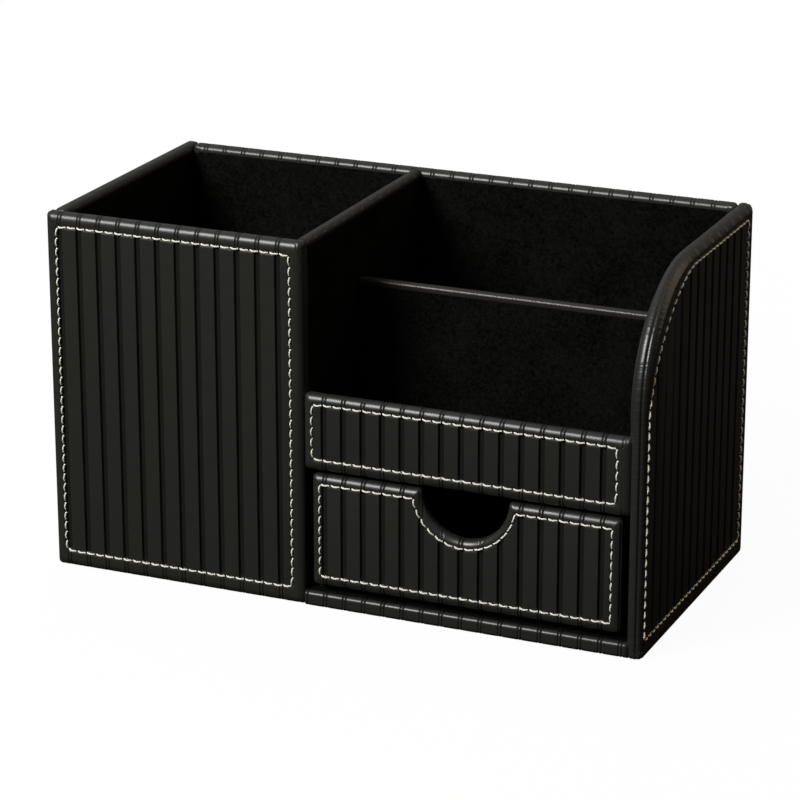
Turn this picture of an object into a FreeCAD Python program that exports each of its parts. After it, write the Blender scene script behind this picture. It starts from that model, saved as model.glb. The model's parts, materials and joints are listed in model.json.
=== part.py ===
# Pen stand with a drawer: boards wrapped in ribbed leather, lined with velvet.
# A tall pen cup stands on the left. On the right a drawer slides in a bay under a
# tray, which a low divider parts into a front compartment and a rear slot.
# Millimetres. X runs to the right, Y to the back, Z up. The origin is the middle of
# the footprint, on the surface that the stand rests on.
import FreeCAD, Part
import math
import os

import Sketcher

# Driving sizes, one cell each.
SIZES = {
    # outside of the stand
    "width": 245.0,
    "depth": 120.0,
    "height": 144.5,
    # layers of a wrapped panel, from the outside in
    "skin": 1.2,
    "board": 4.0,
    "lining": 0.8,
    "felt": 1.2,
    # wrapped edges: radius of the roll, and leather turned onto the inner face
    "roll": 2.5,
    "turn_in": 3.0,
    # pressed grooves of the leather
    "groove_width": 1.7,
    "groove_depth": 0.45,
    "cup_groove_first": 5.2,
    "cup_groove_pitch": 8.37,
    "side_groove_first": 9.4,
    "side_groove_pitch": 8.54,
    "back_groove_first": 8.0,
    "back_groove_pitch": 8.4,
    "bay_groove_first": 7.8,
    "bay_groove_pitch": 7.97,
    "groove_end_margin": 4.5,
    # layout
    "cup_front_width": 108.0,
    "bay_height": 49.5,
    "lip_height": 30.3,
    "side_arc": 49.0,
    # partition between the cup and the drawer side
    "partition_board": 3.4,
    "partition_roll": 2.2,
    # divider of the tray
    "divider_setback": 52.5,
    "divider_top": 116.7,
    "divider_board": 2.4,
    "divider_skin": 0.8,
    "divider_roll": 1.7,
    # drawer
    "drawer_side_gap": 3.2,
    "drawer_bottom_gap": 3.0,
    "drawer_top_gap": 1.5,
    "drawer_back_gap": 3.0,
    "drawer_running_gap": 0.3,
    "drawer_box_inset": 0.7,
    "drawer_wall": 3.0,
    "drawer_bottom_board": 3.0,
    "drawer_wall_height": 37.0,
    "notch_radius": 17.5,
    # how far a cutting tool runs past what it cuts
    "overrun": 5.0,
}

# A groove bends round a roll on the one straight facet that touches the roll's inset
# arc half way: its legs are this share of that arc's radius.
BEND_SHARE = 2 - math.sqrt(2)

# Two coordinates closer than this are one and the same.
SAME_PLACE = 1e-6


class Size:
    """A size with its value and the expression that works it out from the sheet."""

    def __init__(self, value, text):
        self.value = value
        self.text = text

    def __add__(self, other):
        return Size(self.value + other.value, f"({self.text} + {other.text})")

    def __sub__(self, other):
        return Size(self.value - other.value, f"({self.text} - {other.text})")

    def __neg__(self):
        return Size(-self.value, f"(-1 * {self.text})")

    def __mul__(self, times):
        return Size(self.value * times, f"({self.text} * {times})")

    def __truediv__(self, other):
        if isinstance(other, Size):
            return Size(self.value / other.value, f"({self.text} / {other.text})")
        return Size(self.value / other, f"({self.text} / {other})")


ZERO = Size(0.0, "0")

doc = FreeCAD.newDocument("PenStand")
sheet = doc.addObject("Spreadsheet::Sheet", "Sizes")


class Named:
    """The driving sizes, each under its own name."""


named = Named()
for row, (alias, value) in enumerate(SIZES.items(), start=1):
    sheet.set(f"A{row}", alias)
    sheet.set(f"B{row}", str(value))
    sheet.setAlias(f"B{row}", alias)
    setattr(named, alias, Size(value, f"Sizes.{alias}"))
doc.recompute()
z = named

# Sizes and places that follow from the driving ones.
PANEL = z.skin + z.board + z.lining
LEFT = -z.width / 2
RIGHT = z.width / 2
FRONT = -z.depth / 2
BACK = z.depth / 2
INNER_LEFT = LEFT + PANEL
INNER_RIGHT = RIGHT - PANEL
INNER_FRONT = FRONT + PANEL
INNER_BACK = BACK - PANEL
BAY_LEFT = LEFT + z.cup_front_width
PARTITION = z.lining + z.partition_board + z.lining
CUP_RIGHT = BAY_LEFT - PARTITION
BAY_WIDTH = INNER_RIGHT - BAY_LEFT
FLOOR_TOP = z.felt + z.board + z.lining
BAY_TOP = FLOOR_TOP + z.bay_height
SHELF_TOP = BAY_TOP + z.lining + z.board + z.lining
INNER_DEPTH = INNER_BACK - INNER_FRONT
DIVIDER = z.lining + z.divider_board + z.lining
DIVIDER_FRONT = FRONT + z.divider_setback

parts = []


def bind(thing, values):
    """Tie properties of a document object to the sheet."""
    for name, size in values.items():
        thing.setExpression(name, size.text)


def place(thing, x, y, up, turn=0):
    """Put a piece at its corner, turned about the vertical by whole degrees."""
    upright = FreeCAD.Vector(0, 0, 1)
    thing.Placement = FreeCAD.Placement(FreeCAD.Vector(), FreeCAD.Rotation(upright, turn))
    bind(thing, {"Placement.Base.x": x, "Placement.Base.y": y, "Placement.Base.z": up})


def keep(thing, label):
    """Name a finished piece and list it for the STEP files."""
    thing.Label = label
    parts.append(thing)
    return thing


def slab(label, low, high):
    """A flat board or lining between two opposite corners."""
    piece = doc.addObject("Part::Box", label)
    bind(piece, {"Length": high[0] - low[0], "Width": high[1] - low[1], "Height": high[2] - low[2]})
    place(piece, *low)
    return keep(piece, label)


def sketch_on(body, name, role, offset):
    """A sketch on one of the body's origin planes, moved along that plane's normal."""
    plane = [item for item in body.Origin.OriginFeatures if item.Role == role][0]
    sketch = body.newObject("Sketcher::SketchObject", name)
    sketch.AttachmentSupport = [(plane, "")]
    sketch.MapMode = "FlatFace"
    bind(sketch, {"AttachmentOffset.Base.z": offset})
    return sketch


def fix(sketch, kind, number, point, size):
    """Set one coordinate of a sketch point, measured from the sketch's origin."""
    if size.text == "0":
        axis = {"DistanceX": -2, "DistanceY": -1}[kind]
        sketch.addConstraint(Sketcher.Constraint("PointOnObject", number, point, axis))
        return
    index = sketch.addConstraint(Sketcher.Constraint(kind, -1, 1, number, point, size.value))
    sketch.setExpression(f"Constraints[{index}]", size.text)


def polygon(sketch, points):
    """A closed outline through points, each fixed by its own two coordinates."""
    places = [FreeCAD.Vector(x.value, y.value, 0) for x, y in points]
    count = len(points)
    lines = []
    for i in range(count):
        lines.append(sketch.addGeometry(Part.LineSegment(places[i], places[(i + 1) % count])))
    for i in range(count):
        sketch.addConstraint(Sketcher.Constraint("Coincident", lines[i - 1], 2, lines[i], 1))
        fix(sketch, "DistanceX", lines[i], 1, points[i][0])
        fix(sketch, "DistanceY", lines[i], 1, points[i][1])


def rectangle(sketch, left, bottom, right, top):
    """An upright rectangle."""
    polygon(sketch, [(left, bottom), (right, bottom), (right, top), (left, top)])


def notched(sketch, left, bottom, right, top, middle, level, radius):
    """A rectangle with a round notch in its top edge, its centre at (middle, level)."""
    across = math.sqrt(radius.value ** 2 - (top.value - level.value) ** 2)
    at = [
        (left.value, bottom.value),
        (right.value, bottom.value),
        (right.value, top.value),
        (middle.value + across, top.value),
        (middle.value - across, top.value),
        (left.value, top.value),
    ]
    points = [FreeCAD.Vector(x, y, 0) for x, y in at]
    ends = [(0, 1), (1, 2), (2, 3), (4, 5), (5, 0)]
    lines = [sketch.addGeometry(Part.LineSegment(points[a], points[b])) for a, b in ends]
    centre = FreeCAD.Vector(middle.value, level.value, 0)
    circle = Part.Circle(centre, FreeCAD.Vector(0, 0, 1), radius.value)
    rise = math.asin((top.value - level.value) / radius.value)
    arc = sketch.addGeometry(Part.ArcOfCircle(circle, math.pi - rise, 2 * math.pi + rise))
    joins = [(0, 2, 1, 1), (1, 2, 2, 1), (2, 2, arc, 2), (arc, 1, 3, 1), (3, 2, 4, 1), (4, 2, 0, 1)]
    for first, first_end, second, second_end in joins:
        ends = (lines[first] if first != arc else arc, lines[second] if second != arc else arc)
        sketch.addConstraint(Sketcher.Constraint("Coincident", ends[0], first_end, ends[1], second_end))
    for number in (0, 2, 3):
        sketch.addConstraint(Sketcher.Constraint("Horizontal", lines[number]))
    for number in (1, 4):
        sketch.addConstraint(Sketcher.Constraint("Vertical", lines[number]))
    fix(sketch, "DistanceY", lines[0], 1, bottom)
    fix(sketch, "DistanceX", lines[1], 1, right)
    fix(sketch, "DistanceY", lines[2], 1, top)
    fix(sketch, "DistanceY", lines[3], 2, top)
    fix(sketch, "DistanceX", lines[4], 1, left)
    fix(sketch, "DistanceX", arc, 3, middle)
    fix(sketch, "DistanceY", arc, 3, level)
    index = sketch.addConstraint(Sketcher.Constraint("Radius", arc, radius.value))
    sketch.setExpression(f"Constraints[{index}]", radius.text)


def pad(body, sketch, thick):
    """Raise a sketch of the front plane towards the back."""
    feature = body.newObject("PartDesign::Pad", "Pad")
    feature.Profile = sketch
    feature.Reversed = True
    bind(feature, {"Length": thick})
    doc.recompute()
    return feature


def round_edges(body, base, wanted, radius):
    """Round the edges of the last feature that the wanted test picks by their middle."""
    names = []
    for number, edge in enumerate(base.Shape.Edges, start=1):
        middle = edge.valueAt((edge.FirstParameter + edge.LastParameter) / 2)
        run = edge.valueAt(edge.LastParameter) - edge.valueAt(edge.FirstParameter)
        through = abs(run.y) > SAME_PLACE
        if wanted(middle, through):
            names.append(f"Edge{number}")
    feature = body.newObject("PartDesign::Fillet", "Round")
    feature.Base = (base, names)
    bind(feature, {"Radius": radius})
    doc.recompute()
    return feature


def same(a, b):
    """Two coordinates that are one and the same."""
    return abs(a - b) < SAME_PLACE


def channels(body, wide, high, first, pitch):
    """Press straight upright channels into the outer face, which run out on its rolls."""
    sketch = sketch_on(body, "Channel", "XZ_Plane", ZERO)
    over = z.overrun
    rectangle(sketch, first, -over, first + z.groove_width, high + over)
    pocket = body.newObject("PartDesign::Pocket", "Groove")
    pocket.Profile = sketch
    bind(pocket, {"Length": z.groove_depth})
    repeat(body, pocket, wide, first, pitch)


def grooves(body, wide, high, first, pitch):
    """Press grooves that rise up the outer face, bend over its top roll, cross the top
    and run out on the inner roll."""
    sketch = sketch_on(body, "GrooveProfile", "YZ_Plane", first)
    over = z.overrun
    deep = z.groove_depth
    crest = high - deep
    leg = (z.roll - deep) * BEND_SHARE
    inside = [(deep, -over), (deep, crest - leg), (deep + leg, crest), (PANEL + over, crest)]
    outside = [(PANEL + over, high + over), (-over, high + over), (-over, -over)]
    polygon(sketch, inside + outside)
    pocket = body.newObject("PartDesign::Pocket", "Groove")
    pocket.Profile = sketch
    pocket.Reversed = True
    bind(pocket, {"Length": z.groove_width})
    repeat(body, pocket, wide, first, pitch)


def repeat(body, groove, wide, first, pitch):
    """Repeat a groove across the panel, as many times as fit."""
    room = wide - first - z.groove_end_margin
    steps = Size(math.floor(room.value / pitch.value), f"floor({(room / pitch).text})")
    doc.recompute()
    pattern = body.newObject("PartDesign::LinearPattern", "Grooves")
    pattern.Originals = [groove]
    across = [item for item in body.Origin.OriginFeatures if item.Role == "X_Axis"][0]
    pattern.Direction = (across, [""])
    pattern.Occurrences = steps.value + 1
    pattern.setExpression("Length", f"{pitch.text} * {steps.text}")
    pattern.setExpression("Occurrences", f"{steps.text} + 1")
    body.Tip = pattern
    doc.recompute()


def plate(label, corner, turn, rect, start, thick, shape=None):
    """A flat piece of a panel: a rectangle (left, bottom, right, top) seen from the
    panel's outside, from start to start + thick behind its outer face."""
    body = doc.addObject("PartDesign::Body", label)
    sketch = sketch_on(body, "Outline", "XZ_Plane", -start)
    (shape or rectangle)(sketch, *rect)
    pad(body, sketch, thick)
    place(body, *corner, turn)
    return keep(body, label)


def wrap(label, blank, core, corner, turn):
    """The leather: a blank as large as the panel, less all that lies inside it."""
    place(blank, *corner, turn)
    inside = core[0]
    if len(core) > 1:
        inside = doc.addObject("Part::MultiFuse", label + "_inside")
        inside.Shapes = core
    cover = doc.addObject("Part::Cut", label)
    cover.Base = blank
    cover.Tool = inside
    return keep(cover, label)


def blank_panel(name, wide, high):
    """A panel's outside before it is hollowed: rolled along all outer edges, and along
    the inner edge at its free top."""
    body = doc.addObject("PartDesign::Body", name)
    sketch = sketch_on(body, "Outline", "XZ_Plane", ZERO)
    rectangle(sketch, ZERO, ZERO, wide, high)
    block = pad(body, sketch, PANEL)

    def rolled(middle, through):
        return not through and (same(middle.y, 0) or same(middle.z, high.value))

    round_edges(body, block, rolled, z.roll)
    return body


def panel(name, corner, turn, wide, high, windows, ribs, first, pitch):
    """A wrapped panel that stands free at its top: board, linings and ribbed leather."""
    body = blank_panel(name + "_blank", wide, high)
    ribs(body, wide, high, first, pitch)
    inset = z.skin
    core = [plate(name + "_board", corner, turn, (inset, inset, wide - inset, high - inset), inset, z.board)]
    for label, rect in windows.items():
        core.append(plate(label, corner, turn, rect, z.skin + z.board, z.lining))
    return wrap(name + "_cover", body, core, corner, turn)


# Cup front: covers the front ends of the left side and of the partition.
panel(
    "cup_front",
    (LEFT, FRONT, ZERO),
    0,
    z.cup_front_width,
    z.height,
    {"cup_front_lining": (PANEL, FLOOR_TOP, z.cup_front_width - PARTITION, z.height - z.turn_in)},
    grooves,
    z.cup_groove_first,
    z.cup_groove_pitch,
)

# Left side, from the cup front to the back.
left_wide = z.depth - PANEL
panel(
    "left_side",
    (LEFT, BACK, ZERO),
    -90,
    left_wide,
    z.height,
    {"left_side_lining": (PANEL, FLOOR_TOP, left_wide, z.height - z.turn_in)},
    channels,
    z.side_groove_first,
    z.side_groove_pitch,
)

# Back, between the two sides, lined in the cup and behind the tray and drawer.
back_wide = z.width - PANEL - PANEL
lined_top = z.height - z.turn_in
panel(
    "back",
    (INNER_RIGHT, BACK, ZERO),
    180,
    back_wide,
    z.height,
    {
        "back_tray_lining": (ZERO, FLOOR_TOP, BAY_WIDTH, lined_top),
        "back_cup_lining": (BAY_WIDTH + PARTITION, FLOOR_TOP, back_wide, lined_top),
    },
    channels,
    z.back_groove_first,
    z.back_groove_pitch,
)

# Lip: the low front of the tray, over the drawer.
panel(
    "lip",
    (BAY_LEFT, FRONT, BAY_TOP),
    0,
    BAY_WIDTH,
    z.lip_height,
    {"lip_lining": (ZERO, SHELF_TOP - BAY_TOP, BAY_WIDTH, z.lip_height - z.turn_in)},
    grooves,
    z.bay_groove_first,
    z.bay_groove_pitch,
)


def arched_block(body, inset, back, start, thick):
    """A block of the right side, whose upper front corner is one large arc."""
    sketch = sketch_on(body, "Outline", "XZ_Plane", -start)
    high = z.height - inset
    rectangle(sketch, inset, inset, back, high)
    block = pad(body, sketch, thick)

    def arc_corner(middle, through):
        return through and same(middle.x, inset.value) and same(middle.z, high.value)

    return round_edges(body, block, arc_corner, z.side_arc - inset)


def arched_plate(label, inset, back, start, thick):
    """A flat piece inside the right side."""
    body = doc.addObject("PartDesign::Body", label)
    arched_block(body, inset, back, start, thick)
    place(body, RIGHT, FRONT, ZERO, 90)
    return keep(body, label)


def right_side():
    """The right side, whose top comes down to the front in a quarter arc."""
    body = doc.addObject("PartDesign::Body", "right_side_blank")
    block = arched_block(body, ZERO, z.depth, ZERO, PANEL)
    arc_foot = z.height - z.side_arc

    def rolled(middle, through):
        outer = same(middle.y, 0)
        top = same(middle.z, z.height.value)
        front = same(middle.x, 0)
        on_arc = middle.x < z.side_arc.value and middle.z > arc_foot.value
        return not through and (outer or top or front or on_arc)

    round_edges(body, block, rolled, z.roll)
    channels(body, z.depth, z.height, z.side_groove_first, z.side_groove_pitch)
    board = arched_plate("right_side_board", z.skin, z.depth - z.skin, z.skin, z.board)
    lining = arched_plate("right_side_lining", z.turn_in, z.depth - PANEL, z.skin + z.board, z.lining)
    wrap("right_side_cover", body, [board, lining], (RIGHT, FRONT, ZERO), 90)


right_side()


# Bottom of the drawer bay, with its front edge wrapped.
bay_base_board = slab(
    "bay_base_board",
    (BAY_LEFT, FRONT + z.skin, z.felt),
    (INNER_RIGHT, INNER_BACK, z.felt + z.board),
)


def bay_base_edge():
    """The leather folded over the front edge of the bay's bottom board."""
    body = doc.addObject("PartDesign::Body", "bay_base_edge_blank")
    sketch = sketch_on(body, "Outline", "XZ_Plane", ZERO)
    rectangle(sketch, ZERO, ZERO, BAY_WIDTH, FLOOR_TOP)
    block = pad(body, sketch, z.turn_in)

    def long_front(middle, through):
        return same(middle.y, 0) and same(middle.x, BAY_WIDTH.value / 2)

    round_edges(body, block, long_front, z.roll)
    channels(body, BAY_WIDTH, FLOOR_TOP, z.bay_groove_first, z.bay_groove_pitch)
    wrap("bay_base_edge_cover", body, [bay_base_board], (BAY_LEFT, FRONT, ZERO), 0)


bay_base_edge()
slab(
    "bay_base_lining",
    (BAY_LEFT, FRONT + z.turn_in, z.felt + z.board),
    (INNER_RIGHT, INNER_BACK, FLOOR_TOP),
)
slab("bay_base_felt", (BAY_LEFT, FRONT + z.turn_in, ZERO), (INNER_RIGHT, INNER_BACK, z.felt))

# Bottom of the cup.
slab("cup_floor_board", (INNER_LEFT, INNER_FRONT, z.felt), (CUP_RIGHT, INNER_BACK, z.felt + z.board))
slab("cup_floor_lining", (INNER_LEFT, INNER_FRONT, z.felt + z.board), (CUP_RIGHT, INNER_BACK, FLOOR_TOP))
slab("cup_floor_felt", (INNER_LEFT, INNER_FRONT, ZERO), (CUP_RIGHT, INNER_BACK, z.felt))

# Shelf over the drawer, lined on both faces. Its top is the floor of the tray.
shelf_low = BAY_TOP + z.lining
slab("shelf_under_lining", (BAY_LEFT, INNER_FRONT, BAY_TOP), (INNER_RIGHT, INNER_BACK, shelf_low))
slab("shelf_board", (BAY_LEFT, INNER_FRONT, shelf_low), (INNER_RIGHT, INNER_BACK, shelf_low + z.board))
slab("tray_floor_lining", (BAY_LEFT, INNER_FRONT, shelf_low + z.board), (INNER_RIGHT, INNER_BACK, SHELF_TOP))


def standing_cap(label, board, long_way, thick, skin_roll, corner, turn):
    """The rolled leather over the top edge of an upright board lined on both faces."""
    body = doc.addObject("PartDesign::Body", label + "_blank")
    sketch = sketch_on(body, "Outline", "XZ_Plane", ZERO)
    rectangle(sketch, ZERO, ZERO, long_way, z.turn_in)
    block = pad(body, sketch, thick)

    def long_top(middle, through):
        return not through and same(middle.z, z.turn_in.value)

    round_edges(body, block, long_top, skin_roll)
    return wrap(label, body, [board], corner, turn)


# Partition between the cup and the drawer side, lined on both faces.
partition_board = slab(
    "partition_board",
    (CUP_RIGHT + z.lining, INNER_FRONT, ZERO),
    (BAY_LEFT - z.lining, INNER_BACK, z.height - z.skin),
)
slab("partition_cup_lining", (CUP_RIGHT, INNER_FRONT, ZERO), (CUP_RIGHT + z.lining, INNER_BACK, lined_top))
slab("partition_tray_lining", (BAY_LEFT - z.lining, INNER_FRONT, ZERO), (BAY_LEFT, INNER_BACK, lined_top))
standing_cap(
    "partition_edge_cover",
    partition_board,
    INNER_DEPTH,
    PARTITION,
    z.partition_roll,
    (BAY_LEFT, INNER_FRONT, lined_top),
    90,
)

# Divider of the tray, lined on both faces.
divider_back = DIVIDER_FRONT + DIVIDER
divider_lined_top = z.divider_top - z.turn_in
divider_board = slab(
    "divider_board",
    (BAY_LEFT, DIVIDER_FRONT + z.lining, SHELF_TOP),
    (INNER_RIGHT, divider_back - z.lining, z.divider_top - z.divider_skin),
)
slab(
    "divider_front_lining",
    (BAY_LEFT, DIVIDER_FRONT, SHELF_TOP),
    (INNER_RIGHT, DIVIDER_FRONT + z.lining, divider_lined_top),
)
slab(
    "divider_back_lining",
    (BAY_LEFT, divider_back - z.lining, SHELF_TOP),
    (INNER_RIGHT, divider_back, divider_lined_top),
)
standing_cap(
    "divider_edge_cover",
    divider_board,
    BAY_WIDTH,
    DIVIDER,
    z.divider_roll,
    (BAY_LEFT, DIVIDER_FRONT, divider_lined_top),
    0,
)

# Drawer front: flush with the stand's front, with a half-round finger notch.
front_wide = BAY_WIDTH - z.drawer_side_gap * 2
front_high = z.bay_height - z.drawer_bottom_gap - z.drawer_top_gap
drawer_left = BAY_LEFT + z.drawer_side_gap
front_corner = (drawer_left, FRONT, FLOOR_TOP + z.drawer_bottom_gap)


def notched_plate(label, inset, start, thick):
    """A piece of the drawer front, its edges and its notch inset alike."""
    rect = (inset, inset, front_wide - inset, front_high - inset)
    shape = (*rect, front_wide / 2, front_high, z.notch_radius + inset)
    return plate(label, front_corner, 0, shape, start, thick, notched)


def drawer_front():
    """The wrapped front of the drawer."""
    body = doc.addObject("PartDesign::Body", "drawer_front_blank")
    sketch = sketch_on(body, "Outline", "XZ_Plane", ZERO)
    notched(sketch, ZERO, ZERO, front_wide, front_high, front_wide / 2, front_high, z.notch_radius)
    block = pad(body, sketch, PANEL)

    def rolled(middle, through):
        return not through and (same(middle.y, 0) or same(middle.z, front_high.value))

    round_edges(body, block, rolled, z.roll)
    first = z.bay_groove_first - z.drawer_side_gap
    grooves(body, front_wide, front_high, first, z.bay_groove_pitch)
    board = notched_plate("drawer_front_board", z.skin, z.skin, z.board)
    lining = notched_plate("drawer_front_lining", z.turn_in, z.skin + z.board, z.lining)
    wrap("drawer_front_cover", body, [board, lining], front_corner, 0)


drawer_front()

# Drawer box, which runs on the lining of the bay.
box_left = drawer_left + z.drawer_box_inset
box_right = drawer_left + front_wide - z.drawer_box_inset
box_back = INNER_BACK - z.drawer_back_gap
box_low = FLOOR_TOP + z.drawer_running_gap
box_floor = box_low + z.drawer_bottom_board
box_top = box_floor + z.drawer_wall_height
wall = z.drawer_wall
slab("drawer_bottom", (box_left, INNER_FRONT, box_low), (box_right, box_back, box_floor))
slab("drawer_left_side", (box_left, INNER_FRONT, box_floor), (box_left + wall, box_back, box_top))
slab("drawer_right_side", (box_right - wall, INNER_FRONT, box_floor), (box_right, box_back, box_top))
slab("drawer_back", (box_left + wall, box_back - wall, box_floor), (box_right - wall, box_back, box_top))
slab(
    "drawer_floor_lining",
    (box_left + wall, INNER_FRONT, box_floor),
    (box_right - wall, box_back - wall, box_floor + z.lining),
)

doc.recompute()
for thing in doc.Objects:
    if "Invalid" in thing.State or "Error" in thing.State:
        raise RuntimeError(f"{thing.Name} failed: {thing.State}")
for piece in parts:
    solid = piece.Shape
    if solid.isNull() or not solid.isValid() or len(solid.Solids) != 1:
        raise RuntimeError(f"{piece.Label} is not one valid solid")

os.makedirs("parts", exist_ok=True)
for piece in parts:
    piece.Shape.exportStep(os.path.join("parts", piece.Label + ".step"))
    box = piece.Shape.BoundBox
    print(
        f"{piece.Label:24s} x {box.XMin:8.2f} {box.XMax:8.2f}  y {box.YMin:8.2f} {box.YMax:8.2f}"
        f"  z {box.ZMin:8.2f} {box.ZMax:8.2f}  volume {piece.Shape.Volume:10.1f}"
    )
print(len(parts), "pieces")
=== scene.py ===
# Ribbed leather desk organiser with a drawer: its looks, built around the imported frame.
import json
import math

import bmesh
import bpy
from bpy.props import FloatProperty, FloatVectorProperty, PointerProperty, StringProperty
from mathutils import Matrix, Vector


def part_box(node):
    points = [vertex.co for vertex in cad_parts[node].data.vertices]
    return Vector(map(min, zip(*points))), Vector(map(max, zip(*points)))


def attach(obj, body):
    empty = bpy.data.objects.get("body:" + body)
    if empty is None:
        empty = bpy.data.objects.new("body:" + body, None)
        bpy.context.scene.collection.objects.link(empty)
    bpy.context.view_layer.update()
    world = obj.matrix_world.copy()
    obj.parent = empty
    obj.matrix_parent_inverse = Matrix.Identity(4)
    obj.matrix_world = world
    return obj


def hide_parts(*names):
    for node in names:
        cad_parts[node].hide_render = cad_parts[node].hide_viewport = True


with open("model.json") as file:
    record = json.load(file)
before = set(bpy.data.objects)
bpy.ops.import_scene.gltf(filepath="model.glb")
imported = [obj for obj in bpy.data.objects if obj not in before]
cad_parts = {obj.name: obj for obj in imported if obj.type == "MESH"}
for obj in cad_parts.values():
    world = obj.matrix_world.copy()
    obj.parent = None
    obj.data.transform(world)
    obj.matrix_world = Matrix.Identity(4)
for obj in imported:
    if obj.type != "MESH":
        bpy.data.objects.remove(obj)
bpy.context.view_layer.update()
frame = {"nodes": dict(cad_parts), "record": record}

bl_info = {
    "name": "Desk Organiser",
    "version": (1, 0, 0),
    "blender": (4, 5, 0),
    "location": "3D View > Sidebar > Organiser",
    "description": "Builds a ribbed leather desk organiser around its CAD frame",
    "category": "Object",
}

MM = 0.001
QUARTER = math.pi / 2


# Settings


def length(name, description, millimetres):
    """A length property whose default is written in millimetres."""
    metres = millimetres * MM
    return FloatProperty(name=name, description=description, default=metres, unit="LENGTH", precision=5)


def number(name, description, value, unit="NONE"):
    """A number property, in metres, watts or radians where its unit says so."""
    return FloatProperty(name=name, description=description, default=value, unit=unit)


def spot(name, description, metres):
    """A property that holds a place or a direction in the object's frame."""
    return FloatVectorProperty(name=name, description=description, default=metres, subtype="XYZ")


def hex_colour(name, description, code):
    """A colour property that holds an sRGB hex code."""
    return StringProperty(name=name, description=description, default=code)


class LeatherSettings(bpy.types.PropertyGroup):
    """Sizes and colours of the ribbed leather."""

    roll: length("Inner roll", "Radius of a free edge's roll onto the inner face", 2.5)
    corner: length("Corner", "Radius of a panel's outline at its corners", 1.6)
    back_roll: length("Hidden roll", "Radius of the inner edges that butt against a neighbour", 0.4)
    turn_in: length("Turn-in", "Leather turned onto the inner face", 3.0)
    skin: length("Skin", "Thickness of the leather on the face and the edges", 1.2)
    turned_skin: length("Turned skin", "Thickness of the leather on the inner face", 0.8)
    groove: length("Groove", "Width of a pressed groove at half its depth", 2.2)
    groove_wall: length("Groove wall", "Width over which a groove's side falls", 0.45)
    groove_depth: length("Groove depth", "Depth of a pressed groove", 0.95)
    crease_gap: length("Crease gap", "From a groove's middle to each of its two creases on a roll", 0.65)
    crease_width: length("Crease width", "Half the width of a crease on a roll", 0.2)
    crease_depth: length("Crease depth", "Depth of a crease on a roll", 0.34)
    seam_width: length("Seam width", "Half the width of the dent that the stitches pull", 0.65)
    seam_depth: length("Seam depth", "Depth of the dent that the stitches pull", 0.4)
    seam_corner: length("Seam corner", "Radius of the stitch line's corners", 1.6)
    grain: length("Grain", "Size of the leather's grain cells", 0.9)
    wrinkle: length("Wrinkle", "Distance between the cross wrinkles of a tight roll", 2.6)
    colour: hex_colour("Leather", "Colour of the leather", "#282825")
    edge_colour: hex_colour("Smooth leather", "Colour of the smooth edge leather", "#262420")


class StitchSettings(bpy.types.PropertyGroup):
    """Sizes and colour of the saddle stitching."""

    pitch: length("Pitch", "Distance from hole to hole", 4.05)
    thread: length("Thread", "Thickness of the thread", 0.78)
    rise: length("Rise", "How far a stitch's middle stands above the leather", 0.25)
    bulge: length("Bulge", "How far a stitch bows to the side", 0.16)
    slant: number("Slant", "Turn of a stitch off its line", math.radians(-3.0), "ROTATION")
    colour: hex_colour("Thread", "Colour of the thread", "#f0ede0")


class LiningSettings(bpy.types.PropertyGroup):
    """Colours and pattern sizes of velvet, felt and board."""

    pile: length("Pile", "Size of the velvet's tufts", 1.3)
    brushed: length("Brushed patches", "Size of the patches of pile that lie alike", 16.0)
    velvet: hex_colour("Velvet", "Colour of the velvet lining", "#0e0e0d")
    felt: hex_colour("Felt", "Colour of the felt underneath", "#161616")
    board: hex_colour("Board", "Colour of the bare fibreboard", "#a98457")
    flock: hex_colour("Flock", "Colour of the drawer's flocked boards", "#121211")


class StageSettings(bpy.types.PropertyGroup):
    """Floor, camera and lights."""

    floor: hex_colour("Floor", "Colour of the floor", "#f4f4f2")
    floor_glow: hex_colour("Floor's light", "Colour that the floor throws back onto the leather", "#262625")
    lens: number("Lens", "Focal length in millimetres", 148.9)
    camera_place: spot("Camera", "Place of the camera", (0.4856, -1.1235, 0.4878))
    camera_forward: spot("View", "The way the camera looks", (-0.3755, 0.8678, -0.3256))
    aim: spot("Aim", "Place that the lights face", (0.0, 0.0, 0.07))
    key_place: spot("Key's place", "Place of the key light", (-0.60, -1.13, 1.03))
    key_size: number("Key's size", "Side of the key light", 0.56, "LENGTH")
    key_power: number("Key", "Power of the key light", 25.0, "POWER")
    fill_place: spot("Fill's place", "Place of the warm fill light", (0.6, 0.3, 0.5))
    fill_size: number("Fill's size", "Side of the fill light", 0.6, "LENGTH")
    fill_power: number("Fill", "Power of the fill light", 1.3, "POWER")
    back_place: spot("Back's place", "Place of the light behind the organiser", (-0.35, 1.15, 0.35))
    back_size: number("Back's size", "Side of the light behind", 0.6, "LENGTH")
    back_power: number("Back", "Power of the light behind", 7.0, "POWER")
    sky: number("Sky", "Strength of the even light overhead", 0.55)
    horizon: number("Horizon", "Strength of the even light at the horizon", 0.06)


# Wrapped panels

# From the notch to its stitch line, and places beside a groove, in millimetres.
NOTCH_INSET = 3.3
GROOVE_STEPS = (0.3, 0.45, 0.55, 0.65, 0.75, 0.87, 0.96, 1.03, 1.1, 1.17, 1.24, 1.33, 1.55)
# Between rows of points at a stitch line, how far in they go, and the least gaps.
ROW = 0.4 * MM
SEAM_BAND = 1.2 * MM
CLEAR = 0.1 * MM
HAIR = 0.01 * MM
# How far outside the stitch line a groove ends, and the length over which it fades.
GROOVE_END = 0.5 * MM
GROOVE_FADE = 1.3 * MM
# The bead: where it begins, over what height, and its section as shares of its size.
BEAD_FOOT = 84 * MM
BEAD_FADE = 2 * MM
BEAD_SECTION = ((0.05, 0.7), (0.2, 0.95), (0.35, 0.95), (0.5, 0.7), (0.55, 0.0))


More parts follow.
